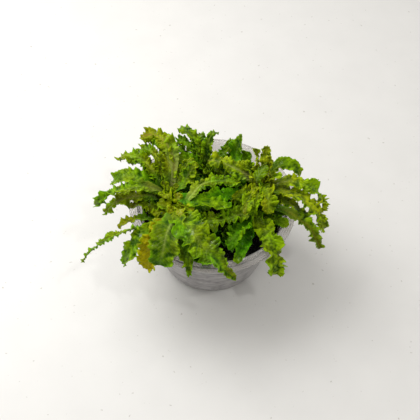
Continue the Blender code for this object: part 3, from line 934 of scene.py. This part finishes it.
# The plant at the rear.
# Deeper green leaves stand up behind the others, one of them looped and one hooked over.
rear_finish = leaf_finish(
    "rear_leaf_tissue",
    deep=(0.005, 0.046, 0.001),
    light=(0.205, 0.360, 0.002),
    rib_colour=(0.34, 0.44, 0.09),
    yellow=(0.235, 0.290, 0.003),
    brown=(0.200, 0.120, 0.008),
)
REAR_LEAVES = [
    ("loop", "fresh", 56, 130, 0, 77, -80, 2.1, 50, 8, 0, 1.0),
    ("hook", "fresh", 60, 98, -40, 84, -110, 3.2, 39, 6, 0, 1.1),
    ("two_lobed", "strap", 52, 11, 0, 35, 85, 0.6, 50, 14, 0, 1.15),
    ("low_back", "fresh", 52, 95, 20, 50, -10, 1.1, 36, 9, 0, 1.2),
    ("low_left", "fresh", 53, 150, 0, 65, -30, 0.9, 52, 9, 0, 1.1),
    ("low_inner", "dark", 50, -60, 0, 40, -20, 1.0, 26, 8, 0, 1.3),
    ("young_a", "young", 62, -40, 0, 80, 20, 1.0, 16, 6, 0, 1.2),
    ("fan", "frilled", 61, -175, 0, 75, -40, 1.2, 34, 9, 0, 1.1),
    ("right", "fresh", 56, -36, 10, 55, -25, 1.0, 34, 10, 0, 1.2),
]
grow_plant("rear", REAR_LEAVES, rear_finish)
REAR_SIDE_LEAVES = [
    ("fresh", 56, 165, 10, 70, -30, 1.0, 40, 9, 0),
    ("frilled", 58, -150, 0, 66, -20, 1.0, 28, 8, 0),
    ("smooth", 54, 8, 0, 40, 40, 1.0, 37, 11, 0),
    ("frilled", 56, 40, 0, 74, 0, 1.0, 34, 8, 0),
    ("frilled", 56, 140, 0, 76, -30, 1.4, 38, 8, 0),
    ("frilled", 57, 110, 20, 80, 20, 1.4, 32, 7, 0),
]
grow_side_leaves("rear", REAR_SIDE_LEAVES, rear_finish)
grow_tuft("rear", 11, rear_finish, 31)
grow_skirt("rear", 10, rear_finish, 32)


# The plant on the right.
# The lightest of the five: long leaves arch over the rim on the right and one hangs to the front.
right_finish = leaf_finish(
    "right_leaf_tissue",
    deep=(0.013, 0.062, 0.001),
    light=(0.345, 0.432, 0.003),
    rib_colour=(0.42, 0.46, 0.14),
    yellow=(0.280, 0.310, 0.004),
    brown=(0.185, 0.130, 0.008),
)
RIGHT_LEAVES = [
    ("hanging", "frilled", 67, -82, 0, 75, -50, 0.9, 35, 10, 0, 1.0),
    ("broad", "sunlit", 60, -34, 0, 60, -76, 1.0, 64, 12, 0, 1.1),
    ("hooked", "sunlit", 64, -15, -12, 58, -112, 1.3, 64, 9, 0, 1.1),
    ("arch", "smooth", 57, 72, -122, 62, -108, 2.0, 47, 9, 0, 1.0),
    ("short", "smooth", 70, -34, 20, 78, 20, 1.0, 20, 6, 0, 1.1),
    ("upright_a", "brown_ribbed", 67, 130, 25, 80, 78, 1.0, 33, 7, 0, 1.1),
    ("upright_b", "frilled", 67, 45, 10, 82, 80, 1.0, 27, 6, 0, 1.2),
    ("bright", "frilled", 60, -140, 0, 72, -65, 1.3, 33, 7, 0, 1.1),
    ("across", "fresh_ribbed", 64, 168, -14, 76, -25, 0.7, 46, 13, 0, 0.95),
    ("crossing", "bright", 57, -166, 32, 36, -2, 0.55, 55, 12, 0, 1.15),
    ("young_a", "young", 69, -175, 0, 75, 20, 1.0, 12, 5, 0, 1.2),
    ("low_back", "dark", 58, 120, 0, 60, -40, 1.0, 28, 9, 0, 1.2),
]
grow_plant("right", RIGHT_LEAVES, right_finish)
RIGHT_SIDE_LEAVES = [
    ("frilled", 66, -120, 10, 70, -50, 1.0, 32, 8, 0),
    ("frilled", 66, 150, 10, 74, 30, 1.0, 24, 7, 0),
    ("fresh", 64, 78, 0, 78, 20, 1.2, 30, 8, 0),
    ("frilled", 66, -100, -10, 66, -70, 1.1, 36, 8, 0),
    ("veined", 66, -140, 0, 40, 150, 0.7, 27, 9, 0),
    ("fresh", 58, -40, -4, 52, -52, 1.0, 48, 9, 0),
]
grow_side_leaves("right", RIGHT_SIDE_LEAVES, right_finish)
grow_tuft("right", 12, right_finish, 41)
grow_skirt("right", 9, right_finish, 42)


# The plant at the front.
# It stands just behind the near rim, so its dark stalks show, and one leaf hangs over the rim.
front_finish = leaf_finish(
    "front_leaf_tissue",
    deep=(0.009, 0.052, 0.001),
    light=(0.248, 0.392, 0.002),
    rib_colour=(0.38, 0.44, 0.09),
    yellow=(0.255, 0.290, 0.003),
    brown=(0.170, 0.115, 0.008),
)
FRONT_LEAVES = [
    ("dark", "stalked_dark", 57, -18, -34, 52, -58, 0.95, 65, 8, 0, 1.2),
    ("tipped", "brown_ribbed", 49, -28, 14, 62, 0, 1.0, 30, 9, 0, 1.0),
    ("over_rim", "sunlit", 53, -66, -8, 46, -92, 1.3, 62, 13, 0, 1.1),
    ("frilly", "frilled", 54, -110, 3, 52, -18, 0.9, 46, 9, 0, 1.4),
    ("smooth", "smooth", 49, -92, -20, 49, -16, 0.9, 53, 9, 0, 1.2),
    ("brown_rib", "brown_ribbed", 64, -115, 20, 82, -70, 1.8, 27, 8, 0, 1.2),
    ("crinkled", "pale_crinkled", 60, -104, -110, 54, -32, 0.8, 48, 11, 0, 1.1),
]
grow_plant("front", FRONT_LEAVES, front_finish)
FRONT_SIDE_LEAVES = [
    ("frilled", 58, -140, -10, 60, -30, 1.0, 34, 9, 0),
    ("frilled", 58, -75, 4, 62, -40, 1.0, 26, 8, 0),
    ("fresh", 54, 170, 10, 50, -20, 1.0, 30, 9, 0),
    ("olive", 54, -36, 0, 46, -12, 1.0, 32, 8, 0),
]
grow_side_leaves("front", FRONT_SIDE_LEAVES, front_finish)
grow_tuft("front", 8, front_finish, 51)
grow_skirt("front", 9, front_finish, 52)
